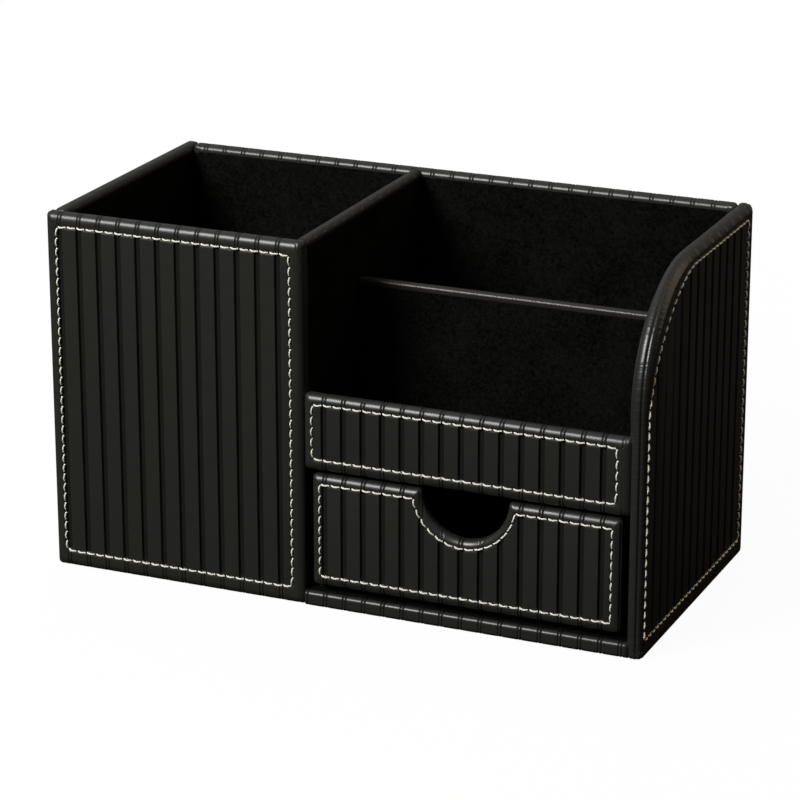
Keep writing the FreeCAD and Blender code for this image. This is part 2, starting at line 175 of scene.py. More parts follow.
class Wrap:
    """One wrapped panel: where it is, how it is turned, its grooves and its stitch line.

    Lengths are given in millimetres. Places are (u, w, v): right, inwards and up from the
    outer face's lower left corner. First and pitch place the grooves, and inset the stitch
    line from the left, bottom, right and top. Reach is how far the rolled edge comes over the
    face, roll and hidden how deep it is where it is free and where it meets a neighbour. The
    bends of the free roll and the stitch line's arc are 2 where round, less where flatter.
    Folds are (place, width, depth, painted shade) of lines along the upright free edge, which
    swells inwards and ends in a bead above the lip."""

    def __init__(
        self, name, turn, first, pitch, inset, free=("top",), arc=0.0, notch=0.0, crease=1.0, wrinkle=0.0,
        reach=3.6, roll=2.5, hidden=2.5, roll_bend=2.0, seam_bend=2.0, folds=(), swell=0.0, bead=0.0,
    ):
        self.name = name
        self.node = name + "_cover"
        self.body = "drawer" if name.startswith("drawer") else "carcass"
        low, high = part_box(self.node)
        size = high - low
        self.wide, self.thick = (size.x, size.y) if turn in (0, 180) else (size.y, size.x)
        self.high = size.z
        x = {0: low.x, 90: high.x, 180: high.x, -90: low.x}[turn]
        y = {0: low.y, 90: low.y, 180: high.y, -90: high.y}[turn]
        self.matrix = Matrix.Translation((x, y, low.z)) @ Matrix.Rotation(math.radians(turn), 4, "Z")
        self.first, self.pitch = first * MM, pitch * MM
        self.inset = [value * MM for value in inset]
        self.free = free
        self.arc, self.notch = arc * MM, notch * MM
        self.notch_seam = (notch + NOTCH_INSET) * MM
        self.crease, self.wrinkle = crease, wrinkle
        self.reach, self.roll, self.hidden = reach * MM, roll * MM, hidden * MM
        self.roll_bend, self.seam_bend = roll_bend, seam_bend
        self.folds = [(place * MM, width * MM, depth * MM, dark) for place, width, depth, dark in folds]
        self.swell, self.bead = swell * MM, bead * MM


def wraps():
    """The six wrapped panels."""
    all_round = ("top", "left", "right", "bottom")
    tight = {
        "arc": 49.0, "crease": 0.3, "wrinkle": 1.0, "reach": 3.2, "roll": 3.8, "hidden": 1.6,
        "roll_bend": 1.7, "seam_bend": 1.6, "swell": 0.6, "bead": 2.0,
        # a pressed line with painted shade in it, and a band of painted shade alone where the roll turns away
        # from the light
        "folds": ((4.3, 0.35, 0.6, 0.8), (1.7, 1.3, 0.0, 1.0)),
    }
    # panel, degrees it is turned, first groove, pitch of the grooves, insets of the stitch line
    return [
        Wrap("cup_front", 0, 6.05, 8.37, (4.7, 6.6, 5.0, 5.2)),
        Wrap("left_side", -90, 10.25, 8.54, (4.0, 5.75, 4.0, 5.2), crease=0.45, wrinkle=0.5),
        Wrap("back", 180, 8.85, 8.4, (4.4, 5.75, 4.4, 5.2)),
        Wrap("right_side", 90, 10.25, 8.54, (2.55, 7.4, 6.2, 5.3), ("top", "left"), **tight),
        Wrap("lip", 0, 8.65, 7.97, (3.6, 4.6, 5.4, 3.7)),
        Wrap("drawer_front", 0, 5.45, 7.97, (3.5, 4.15, 3.5, 3.6), all_round, notch=17.5),
    ]


def smooth_step(value):
    """0 to 1 with a soft start and end."""
    value = min(max(value, 0.0), 1.0)
    return value * value * (3 - 2 * value)


def from_groove(u, ribs):
    """Distance from u to the middle of the nearest groove."""
    return abs((u - ribs.first + ribs.pitch / 2) % ribs.pitch - ribs.pitch / 2)


def crease_at(u, ribs, leather):
    """Depth of the two thin creases that a groove leaves where the leather is rolled."""
    offset = (from_groove(u, ribs) - leather.crease_gap) / leather.crease_width
    return leather.crease_depth * ribs.crease * math.exp(-offset * offset)


def seam_gap(wrap, leather, u, v):
    """How far a place lies outside the stitch line, below zero inside it."""
    left, bottom, right, top = wrap.inset
    corner = leather.seam_corner
    half_u = (wrap.wide - left - right) / 2 - corner
    half_v = (wrap.high - bottom - top) / 2 - corner
    off_u = abs(u - left - half_u - corner) - half_u
    off_v = abs(v - bottom - half_v - corner) - half_v
    gap = math.hypot(max(off_u, 0.0), max(off_v, 0.0)) + min(max(off_u, off_v), 0.0) - corner
    if in_arc(wrap, u, v):
        reach_u = wrap.arc - left
        reach_v = wrap.arc - top
        ways = ((wrap.arc - u) / reach_u, (v - wrap.high + wrap.arc) / reach_v)
        around = sum(way**wrap.seam_bend for way in ways) ** (1 / wrap.seam_bend)
        gap = (around - 1) * (reach_u + reach_v) / 2
    if wrap.notch:
        gap = max(gap, wrap.notch_seam - math.hypot(u - wrap.wide / 2, v - wrap.high))
    return gap


def pressed(wrap, leather, u, v, lean=1.0):
    """How deep the leather is pressed in at a place on its unrolled sheet, and how much painted
    shade it gets there (0 to 1), darker in its grooves, creases and the stitches' dent."""
    gap = seam_gap(wrap, leather, u, v)
    inside = smooth_step((GROOVE_END - gap) / GROOVE_FADE)
    edge = (leather.groove + leather.groove_wall) / 2
    sunk = smooth_step((edge - from_groove(u, wrap)) / leather.groove_wall) * inside
    # the thread pulls less where a groove is pressed already
    dent = math.exp(-((gap / leather.seam_width) ** 2)) * (1 - 0.6 * sunk)
    crease = crease_at(u, wrap, leather) * lean * (1 - inside)
    deep = leather.groove_depth * sunk + leather.seam_depth * dent + crease
    # the second value is painted shade, for the grooves, creases and the dent by the stitches
    return min(deep, leather.skin - CLEAR), min(sunk + crease / leather.crease_depth + 0.8 * dent, 1.0)


def in_arc(wrap, u, v):
    """Whether a place lies in the square that the arc rounds off."""
    return wrap.arc and u < wrap.arc and v > wrap.high - wrap.arc


def rim_lean(wrap, u, v):
    """How squarely a groove crosses the nearest edge: 1 along the top, 0 where they run alike."""
    if in_arc(wrap, u, v):
        rise = v - wrap.high + wrap.arc
        return (rise / math.hypot(wrap.arc - u, rise)) ** 2
    if wrap.notch and abs(u - wrap.wide / 2) < wrap.notch:
        drop = wrap.high - v
        reach = math.hypot(u - wrap.wide / 2, drop)
        if reach < 1.5 * wrap.notch:
            return (drop / reach) ** 2
    return 1.0


def rim_top(wrap, roll, u):
    """Where the flat of the face ends at the top, and which way is outwards there."""
    middle = wrap.wide / 2
    if wrap.arc and u < wrap.arc:
        reach = wrap.arc - roll
        rise = math.sqrt(max(reach**2 - (wrap.arc - u) ** 2, 0.0))
        return wrap.high - wrap.arc + rise, Vector(((u - wrap.arc) / reach, rise / reach))
    if wrap.notch:
        reach = wrap.notch + roll
        mouth = math.sqrt(reach**2 - roll**2)
        if abs(u - middle) < mouth - 1e-9:
            drop = math.sqrt(reach**2 - (u - middle) ** 2)
            return wrap.high - drop, Vector(((middle - u) / reach, drop / reach))
    return wrap.high - roll, Vector((0, 1))


def groove_stations(ribs, low, high):
    """Places between low and high that the grooves' shape needs."""
    places = {low, high}
    for k in range(-1, int(ribs.wide / ribs.pitch) + 2):
        centre = ribs.first + k * ribs.pitch
        for step in GROOVE_STEPS:
            for place in (centre - step * MM, centre + step * MM):
                if low + CLEAR < place < high - CLEAR:
                    places.add(place)
    return places


def face_stations(wrap, roll):
    """All the places across the face that get a column of points."""
    low, high = roll, wrap.wide - roll
    places = groove_stations(wrap, low, high)
    for line in (wrap.inset[0], wrap.wide - wrap.inset[2]):
        rows = [line + ROW * k for k in range(-3, 4)]
        places |= {place for place in rows if low + CLEAR < place < high - CLEAR}
    if wrap.arc:
        reach = wrap.arc - roll
        steps = 90
        places |= {wrap.arc - reach * math.cos(QUARTER * k / steps) for k in range(1, steps + 1)}
    if wrap.notch:
        reach = wrap.notch + roll
        mouth = math.asin(math.sqrt(reach**2 - roll**2) / reach)
        steps = 40
        places |= {wrap.wide / 2 + reach * math.sin(mouth * k / steps) for k in range(-steps, steps + 1)}
    ordered = sorted(places)
    kept = [ordered[0]]
    for place in ordered[1:]:
        if place - kept[-1] > 2 * HAIR:
            kept.append(place)
    kept[-1] = high
    return kept


def face_heights(wrap, roll, u):
    """Heights of one column's points, close together where the stitch line crosses it."""
    top, normal = rim_top(wrap, roll, u)
    below = math.ceil((wrap.inset[1] - roll + SEAM_BAND) / ROW)
    above = math.ceil((wrap.inset[3] - roll + SEAM_BAND) / ROW)
    stretch = 1 / max(normal.y, 0.35)
    lower = [roll + ROW * k for k in range(below + 1)]
    return lower + [top - ROW * k * stretch for k in range(above, -1, -1)]


def fan(before, after, roll, corner):
    """Columns that swing round a corner of the rim from one side's normal to the next. Their
    normals are longer in between, so that the outline's corner has its own radius."""
    swing = math.atan2(before[2].cross(after[2]), before[2].dot(after[2]))
    steps = int(abs(swing) / math.radians(9))
    stretch = ((roll - corner) * math.sqrt(2) + corner) / roll - 1
    columns = []
    for k in range(1, steps):
        share = k / steps
        turned = before[2] * (1 + stretch * math.sin(math.pi * share) ** 3)
        turned.rotate(Matrix.Rotation(swing * share, 2))
        columns.append((after[0], after[1], turned, before[3] + (after[3] - before[3]) * share))
    return columns


def rim(wrap, roll, corner, stations):
    """The edge of the flat face, anticlockwise: (u, v, outward normal, free) per column."""
    free = {side: 1.0 if side in wrap.free else 0.0 for side in ("bottom", "right", "top", "left")}
    right = wrap.wide - roll
    right_top, _ = rim_top(wrap, roll, right)
    left_top, _ = rim_top(wrap, roll, roll)
    top = [(u, *rim_top(wrap, roll, u), free["top"]) for u in reversed(stations)]
    runs = [[(u, roll, Vector((0, -1)), free["bottom"]) for u in stations]]
    runs.append([(right, height, Vector((1, 0)), free["right"]) for height in (roll, right_top)])
    if wrap.notch:
        reach = wrap.notch + roll
        mouth = math.sqrt(reach**2 - roll**2)
        ledge = wrap.high - roll
        ends = (wrap.wide / 2 + mouth, wrap.wide / 2 - mouth)
        up = Vector((0, 1))
        first = (ends[0], ledge, Vector((-mouth, roll)) / reach, free["top"])
        last = (ends[1], ledge, Vector((mouth, roll)) / reach, free["top"])
        inside = [c for c in top if abs(c[0] - wrap.wide / 2) < mouth - HAIR]
        runs.append([c for c in top if c[0] > ends[0] + HAIR] + [(ends[0], ledge, up, free["top"])])
        runs.append([first] + inside + [last])
        runs.append([(ends[1], ledge, up, free["top"])] + [c for c in top if c[0] < ends[1] - HAIR])
    else:
        runs.append(top)
    runs.append([(roll, height, Vector((-1, 0)), free["left"]) for height in (left_top, roll)])
    columns = []
    for number, run in enumerate(runs):
        columns += fan(runs[number - 1][-1], run[0], roll, corner) + run
    return columns


def folded_in(wrap, travel, upright):
    """Depth and painted shade of the lines pressed along an upright free edge."""
    depth = dark = 0.0
    for place, width, deep, painted_shade in wrap.folds:
        near = upright * math.exp(-(((travel - place) / width) ** 2))
        depth += deep * near
        dark += painted_shade * near
    return depth, dark


def edge_section(wrap, leather, u, v, normal, free):
    """One column over a rolled edge: (out, depth, travel, painted shade) from the face's rim
    round the front roll, the edge, the back roll and the turn-in, then back along the inside."""
    roll = wrap.hidden + (wrap.roll - wrap.hidden) * free
    reach = wrap.reach
    inner = leather.back_roll + (min(leather.roll, wrap.thick - roll - CLEAR) - leather.back_roll) * free
    mixed = 0 < free < 1
    hidden_turn_in = 1.0 * MM
    turn_in = hidden_turn_in + (leather.turn_in - hidden_turn_in) * (1.0 if mixed else free)
    strip = max(turn_in - inner, 2 * CLEAR)
    flat = wrap.thick - roll - inner
    lean = rim_lean(wrap, u, v) if free or normal.y else 0.0
    lean *= 1.0 if abs(normal.y) > 0.999 or wrap.arc or wrap.notch else min(normal.y**2, 1.0)
    upright = free * min(abs(normal.x), 1.0)
    points = []
    travel = 0.0
    last = (0.0, 0.0)
    power = 2 / (2 + (wrap.roll_bend - 2) * free)
    steps = 17
    for k in range(steps + 1):
        turn = QUARTER * k / steps
        swing, rest = math.sin(turn), max(math.cos(turn), 0.0)
        place = (reach * swing**power, roll - roll * rest**power)
        travel += math.dist(place, last)
        last = place
        deep, share = pressed(wrap, leather, u + normal.x * travel, v + normal.y * travel, lean)
        fold, dark = folded_in(wrap, travel, upright)
        share = min(share + dark, 1.0)
        lean_out, lean_in = roll * swing ** (2 - power), reach * rest ** (2 - power)
        sunk = (deep + fold) / math.hypot(lean_out, lean_in)
        points.append((place[0] - sunk * lean_out, place[1] + sunk * lean_in, travel, share))
    steps = 4
    for k in range(1, steps):
        along = flat * k / steps
        fold, dark = folded_in(wrap, travel + along, upright)
        points.append((reach - deep - fold, roll + along, travel + along, min(share + dark, 1.0)))
    # on the back roll a groove is shallower, and never half as deep as the roll is round
    deep = min(deep * 0.6, inner * 0.45)
    travel += flat
    steps = 10
    for k in range(steps + 1):
        turn = QUARTER * k / steps
        along = travel + inner * turn
        fold, dark = folded_in(wrap, along, upright)
        sunk = deep + fold - wrap.swell * upright * math.sin(turn) ** 2
        out = reach - inner + (inner - sunk) * math.cos(turn)
        depth = wrap.thick - inner + (inner - sunk) * math.sin(turn)
        points.append((out, depth, along, min(share + dark, 1.0)))
    travel += inner * QUARTER
    ending = reach - inner - strip
    # where a free edge meets a hidden one the turn-in lies over the lining's corner
    lift = 0.06 * MM if mixed else 0.0
    cover = wrap.thick + lift
    bead = wrap.bead * upright * smooth_step((v - BEAD_FOOT) / BEAD_FADE)
    # painted shadow: beside a bead the turn-in is drawn dark, as the gap before the bead
    shadow = 1.0 if bead else 0.0
    points += [(ending + strip / 2, cover - deep / 2, travel, shadow), (ending, cover, travel, shadow)]
    if wrap.bead:
        points += [(ending - bead * over, cover + bead * up, travel, 0.0) for over, up in BEAD_SECTION]
        ending -= bead * BEAD_SECTION[-1][0]
    within = wrap.thick - leather.turned_skin
    inside = reach - leather.skin
    points += [(ending, within, travel, 0.0), (inside, within, travel, 0.0)]
    points += [(inside, leather.skin, travel, 0.0), (0.0, leather.skin, 0.0, 0.0)]
    return points


def edge_layers(mesh):
    """What the leather's material reads at each point: how far along the edge it lies, how
    wrinkled it is and, in the layer named pressed, how much painted shade it gets."""
    return [mesh.verts.layers.float.new(name) for name in ("edge_run", "edge_wrinkle", "pressed")]


def span(mesh, lines):
    """Faces between each line of points and the next."""
    for here, there in zip(lines, lines[1:]):
        for corners in zip(here, there, there[1:], here[1:]):
            mesh.faces.new(corners)


def weld(mesh):
    """Join the points that meet, and turn the faces outwards."""
    bmesh.ops.remove_doubles(mesh, verts=mesh.verts, dist=0.002 * MM)
    bmesh.ops.recalc_face_normals(mesh, faces=mesh.faces)


def leather_mesh(wrap, leather):
    """A wrapped panel's leather: flat face, rolled edges, turn-in and inner side, closed."""
    mesh = bmesh.new()
    run_layer, wrinkle_layer, painted_shade_layer = edge_layers(mesh)
    roll = wrap.reach
    stations = face_stations(wrap, roll)
    rings = []
    run = 0.0
    last = None
    for u, v, normal, free in rim(wrap, roll, leather.corner, stations):
        here = Vector((u, v)) + normal * roll
        run += (here - last).length if last else 0.0
        last = here
        ring = []
        for out, depth, travel, share in edge_section(wrap, leather, u, v, normal, free):
            vert = mesh.verts.new(wrap.matrix @ Vector((u + normal.x * out, depth, v + normal.y * out)))
            vert[run_layer] = run
            vert[wrinkle_layer] = wrap.wrinkle * smooth_step(travel / (0.5 * roll))
            # how much painted shade this point gets
            vert[painted_shade_layer] = share
            ring.append(vert)
        rings.append(ring)
    span(mesh, rings + rings[:1])
    outer, inner = [], []
    for u in stations:
        heights = face_heights(wrap, roll, u)
        column = []
        for v in heights:
            deep, share = pressed(wrap, leather, u, v, rim_lean(wrap, u, v))
            vert = mesh.verts.new(wrap.matrix @ Vector((u, deep, v)))
            # how much painted shade this point of the face gets
            vert[painted_shade_layer] = share
            column.append(vert)
        outer.append(column)
        ends = (heights[0], heights[-1])
        inner.append([mesh.verts.new(wrap.matrix @ Vector((u, leather.skin, v))) for v in ends])
    span(mesh, outer)
    span(mesh, inner)
    weld(mesh)
    return mesh


def linked(name, data):
    """An object in the scene that shows this data."""
    thing = bpy.data.objects.new(name, data)
    bpy.context.scene.collection.objects.link(thing)
    return thing


def piece_from(name, mesh, material):
    """A smooth-shaded object from a bmesh, in the object's frame."""
    data = bpy.data.meshes.new(name)
    for face in mesh.faces:
        face.smooth = True
    mesh.to_mesh(data)
    mesh.free()
    data.materials.append(material)
    return linked(name, data)


# Folded edges


class Fold:
    """Leather folded over one board's edge: the way it runs, its thick way and its outward
    way, with the creases that grooves leave across it. Lengths are given in millimetres."""

    def __init__(self, node, along, across, out, finish, roll, first, pitch, crease, wrinkle):
        self.node = node
        low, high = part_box(node)
        ways = {"x": Vector((1, 0, 0)), "y": Vector((0, 1, 0)), "z": Vector((0, 0, 1))}
        self.along = ways[along]
        self.across = ways[across]
        self.out = ways[out[-1]] * (-1 if out[0] == "-" else 1)
        size = high - low
        self.wide = size.dot(self.along)
        self.thick = size.dot(self.across)
        self.reach = abs(size.dot(self.out))
        self.start = Vector(low)
        if out[0] == "-":
            self.start -= self.out * self.reach
        self.roll, self.first, self.pitch = roll * MM, first * MM, pitch * MM
        self.crease, self.wrinkle = crease, wrinkle
        self.tucked = out == "-y"
        self.material, self.slot = finish


def folds():
    """The three folded edges."""
    smooth = ("smooth_pu_leather", "edge_leather")
    ribbed = ("ribbed_pu_leather", "ribbed_leather")
    # node, its three ways, finish, roll, first groove, pitch, strength of creases and wrinkles
    return [
        Fold("partition_edge_cover", "y", "x", "z", smooth, 2.2, 8.0, 8.5, 0.35, 1.0),
        Fold("divider_edge_cover", "x", "y", "z", smooth, 1.5, 8.65, 7.97, 0.12, 0.3),
        Fold("bay_base_edge_cover", "x", "z", "-y", ribbed, 1.7, 8.65, 7.97, 0.9, 0.0),
    ]


def folded_mesh(fold, leather):
    """The outside of a folded edge, with its creases."""
    roll, thick = fold.roll, fold.thick
    flank = fold.reach - roll
    steps = 14
    turns = [QUARTER * k / steps for k in range(steps + 1)]
    rolls = [(roll, -math.cos(a), math.sin(a)) for a in turns]
    rolls += [(thick - roll, math.sin(a), math.cos(a)) for a in turns]
    # places across and out, and the way that each point leans
    section = [(0.0, 0.0, -1, 0), (0.0, flank / 2, -1, 0)]
    section += [(middle + roll * x, flank + roll * y, x, y) for middle, x, y in rolls]
    section += [(thick, flank / 2, 1, 0), (thick, 0.0, 1, 0)]
    mesh = bmesh.new()
    run_layer, wrinkle_layer, painted_shade_layer = edge_layers(mesh)
    rings = []
    # the ends stand a hair proud, so that they cover the bare ends of the board
    proud = 5 * HAIR
    for place in sorted(groove_stations(fold, -proud, fold.wide + proud)):
        deep = crease_at(place, fold, leather)
        ring = []
        for across, out, lean_across, lean_out in section:
            offset = fold.across * (across - lean_across * deep) + fold.out * (out - lean_out * deep)
            vert = mesh.verts.new(fold.start + fold.along * place + offset)
            vert[run_layer] = place
            vert[wrinkle_layer] = fold.wrinkle
            # painted shade: what is turned under a neighbour or towards the floor is drawn darker, and so are
            # the creases
            tucked = 1.0 if fold.tucked and (not lean_out or across < 0.7 * roll) else 0.0
            vert[painted_shade_layer] = max(tucked, deep / leather.crease_depth)
            ring.append(vert)
        rings.append(ring)
    span(mesh, rings)
    for ring in (rings[0], rings[-1]):
        mesh.faces.new(ring)
    weld(mesh)
    crest = max(mesh.faces, key=lambda face: face.calc_center_median().dot(fold.out))
    if crest.normal.dot(fold.out) < 0:
        bmesh.ops.reverse_faces(mesh, faces=mesh.faces)
    return mesh


# Materials

# The Mix node's colour sockets by number, because its other kinds share their names.
MIX_A = 6
MIX_B = 7
MIX_OUT = 2


def linear(code):
    """An sRGB hex code as a linear colour."""
    values = [int(code[i : i + 2], 16) / 255 for i in (1, 3, 5)]
    return [v / 12.92 if v <= 0.04045 else ((v + 0.055) / 1.055) ** 2.4 for v in values] + [1.0]


def shade(colour, factor):
    """A linear colour made lighter or darker."""
    return [min(value * factor, 1.0) for value in colour[:3]] + [1.0]


def add(tree, kind, inputs=None, **settings):
    """Add a node, set its properties, and give its inputs a link or a value. A node that is
    given to an input stands for its first output."""
    node = tree.nodes.new(kind)
    for name, value in settings.items():
        setattr(node, name, value)
    for socket, value in (inputs or {}).items():
        if isinstance(value, bpy.types.Node):
            value = value.outputs[0]
        if isinstance(value, bpy.types.NodeSocket):
            tree.links.new(value, node.inputs[socket])
        else:
            node.inputs[socket].default_value = value
    return node


def new_material(name):
    """A material with an empty node tree."""
    material = bpy.data.materials.new(name)
    material.use_nodes = True
    material.node_tree.nodes.clear()
    return material


def per_metre(size):
    """Pattern scale that gives one cell per size."""
    return 1 / size


def leather_material(name, colour, leather, roughness):
    """Polyurethane leather, calendered with a fine grain: a satin coat with a clear but soft
    highlight, faintly uneven gloss, and thin cross wrinkles where it is rolled tightly. The
    grain is drawn a little coarser than real, so that it shows. Shade is painted into its
    colour where the pressed attribute asks for it."""
    tree = new_material(name).node_tree
    base = linear(colour)
    place = add(tree, "ShaderNodeTexCoord").outputs["Object"]
    cells = {"Vector": place, "Scale": per_metre(leather.grain)}
    pebbles = add(tree, "ShaderNodeTexVoronoi", cells, feature="SMOOTH_F1")
    waves = add(tree, "ShaderNodeTexNoise", {"Vector": place, "Scale": per_metre(5 * MM), "Detail": 4.0})
    cloudy = add(tree, "ShaderNodeTexNoise", {"Vector": place, "Scale": per_metre(18 * MM), "Detail": 3.0})
    gloss = add(tree, "ShaderNodeMapRange", {
        "Value": cloudy, "To Min": roughness - 0.04, "To Max": roughness + 0.06,
    })
    tint = add(tree, "ShaderNodeMix", {
        "Factor": waves, MIX_A: shade(base, 0.88), MIX_B: shade(base, 1.12),
    }, data_type="RGBA")
    # painted shade: darker where the pressed attribute says, in grooves, creases, folds and gaps
    painted_shade = add(tree, "ShaderNodeAttribute", attribute_name="pressed").outputs["Fac"]
    tone = add(tree, "ShaderNodeMix", {
        "Factor": painted_shade, MIX_A: tint.outputs[MIX_OUT], MIX_B: shade(base, 0.5),
    }, data_type="RGBA")
    # cross wrinkles: thin valleys, spaced along the edge and bent a little by the place
    run = add(tree, "ShaderNodeAttribute", attribute_name="edge_run").outputs["Fac"]
    rolled = add(tree, "ShaderNodeAttribute", attribute_name="edge_wrinkle").outputs["Fac"]
    step = add(tree, "ShaderNodeMath", {0: run, 1: per_metre(leather.wrinkle)}, operation="MULTIPLY")
    along = add(tree, "ShaderNodeCombineXYZ", {"X": step})
    bent = add(tree, "ShaderNodeVectorMath", {
        0: place, 1: (per_metre(14 * MM),) * 3, 2: along,
    }, operation="MULTIPLY_ADD")
    bands = add(tree, "ShaderNodeTexNoise", {"Vector": bent, "Scale": 1.0, "Detail": 2.0})
    off = add(tree, "ShaderNodeMath", {0: bands, 1: 0.5}, operation="SUBTRACT")
    off = add(tree, "ShaderNodeMath", {0: off}, operation="ABSOLUTE")
    valley = add(tree, "ShaderNodeMapRange", {"Value": off, "From Max": 0.18, "To Min": 1.0, "To Max": 0.0})
    sunk = add(tree, "ShaderNodeMath", {0: valley, 1: rolled}, operation="MULTIPLY")
    soft = add(tree, "ShaderNodeBump", {"Height": waves, "Strength": 0.12, "Distance": 0.4 * MM})
    fine = add(tree, "ShaderNodeBump", {
        "Height": pebbles, "Normal": soft, "Strength": 0.08, "Distance": 0.1 * MM,
    })
    wrinkled = add(tree, "ShaderNodeBump", {
        "Height": sunk, "Normal": fine, "Strength": 1.0, "Distance": 0.07 * MM,
    }, invert=True)
    shader = add(tree, "ShaderNodeBsdfPrincipled", {
        "Base Color": tone.outputs[MIX_OUT], "Roughness": gloss, "Normal": wrinkled,
        "IOR": 1.48, "Specular IOR Level": 0.42,
    })
    add(tree, "ShaderNodeOutputMaterial", {"Surface": shader})


def velvet_material(name, colour, pile, brushed, contrast, sheen):
    """Polyester velvet with a short flocked pile: it drinks the light, and its tufts lean this
    way and that, which mottles it in short lighter and darker strokes, drawn a little coarser
    than real, so that they show."""
    tree = new_material(name).node_tree
    base = linear(colour)
    place = add(tree, "ShaderNodeTexCoord").outputs["Object"]
    tufts = add(tree, "ShaderNodeTexNoise", {
        "Vector": place, "Scale": per_metre(pile), "Detail": 4.0, "Roughness": 0.6, "Distortion": 0.9,
    })
    patches = add(tree, "ShaderNodeTexNoise", {"Vector": place, "Scale": per_metre(brushed), "Detail": 3.0})
    both = add(tree, "ShaderNodeMath", {0: tufts, 1: 3.0, 2: patches}, operation="MULTIPLY_ADD")
    spread = add(tree, "ShaderNodeMapRange", {"Value": both, "From Min": 1.5, "From Max": 2.5})
    tint = add(tree, "ShaderNodeMix", {
        "Factor": spread, MIX_A: shade(base, 1 - contrast), MIX_B: shade(base, 1 + 1.6 * contrast),
    }, data_type="RGBA")
    bump = add(tree, "ShaderNodeBump", {"Height": tufts, "Strength": 0.4, "Distance": 0.2 * MM})
    shader = add(tree, "ShaderNodeBsdfPrincipled", {
        "Base Color": tint.outputs[MIX_OUT], "Normal": bump, "Roughness": 0.95, "Specular IOR Level": 0.0,
        "Sheen Weight": sheen, "Sheen Roughness": 0.4, "Sheen Tint": (0.5, 0.5, 0.5, 1.0),
    })
    add(tree, "ShaderNodeOutputMaterial", {"Surface": shader})


def fibre_material(name, colour, size, dark, roughness):
    """Fine pressed or twisted fibres, matt: lighter and darker at the fibres' own size."""
    tree = new_material(name).node_tree
    base = linear(colour)
    place = add(tree, "ShaderNodeTexCoord").outputs["Object"]
    fibres = add(tree, "ShaderNodeTexNoise", {"Vector": place, "Scale": per_metre(size), "Detail": 3.0})
    tint = add(tree, "ShaderNodeMix", {
        "Factor": fibres, MIX_A: shade(base, dark), MIX_B: shade(base, 2 - dark),
    }, data_type="RGBA")
    bump = add(tree, "ShaderNodeBump", {"Height": fibres, "Strength": 0.35, "Distance": 0.1 * MM})
    shader = add(tree, "ShaderNodeBsdfPrincipled", {
        "Base Color": tint.outputs[MIX_OUT], "Normal": bump, "Roughness": roughness,
    })
    add(tree, "ShaderNodeOutputMaterial", {"Surface": shader})


def materials():
    """All finishes, made once."""
    scene = bpy.context.scene
    if not bpy.data.materials.get("ribbed_pu_leather"):
        leather = scene.organiser_leather
        lining = scene.organiser_lining
        stitch = scene.organiser_stitch
        leather_material("ribbed_pu_leather", leather.colour, leather, roughness=0.29)
        leather_material("smooth_pu_leather", leather.edge_colour, leather, roughness=0.33)
        pile = (lining.pile, lining.brushed)
        velvet_material("black_velvet", lining.velvet, *pile, contrast=0.55, sheen=0.003)
        velvet_material("black_felt", lining.felt, 1.2 * MM, 30 * MM, contrast=0.3, sheen=0.0)
        velvet_material("flocked_board", lining.flock, *pile, contrast=0.6, sheen=0.003)
        # medium-density fibreboard: fine pressed fibres, matt and even
        fibre_material("fibreboard", lining.board, size=0.8 * MM, dark=0.85, roughness=0.85)
        # bonded polyester thread, twisted from plies: matt off-white, its fibres drawn coarse
        fibre_material("sewing_thread", stitch.colour, size=stitch.thread * 0.6, dark=0.88, roughness=0.75)
    return bpy.data.materials


# Stitching

STITCH_SIZES = ("Pitch", "Thread", "Rise", "Bulge", "Slant")
# How far a stitch's ends reach and sink, and how high and aside its middle is drawn.
STITCH_SHARES = (("Pitch", 0.385), ("Pitch", -0.385), ("Thread", -0.5), ("Rise", 2.8), ("Bulge", -2.0))
# From the place along a stitch to how much it is thinned, 0.4 at its ends.
THINNING = (("MULTIPLY", 2.0), ("SUBTRACT", 1.0), ("POWER", 4.0), ("MULTIPLY", 0.4))


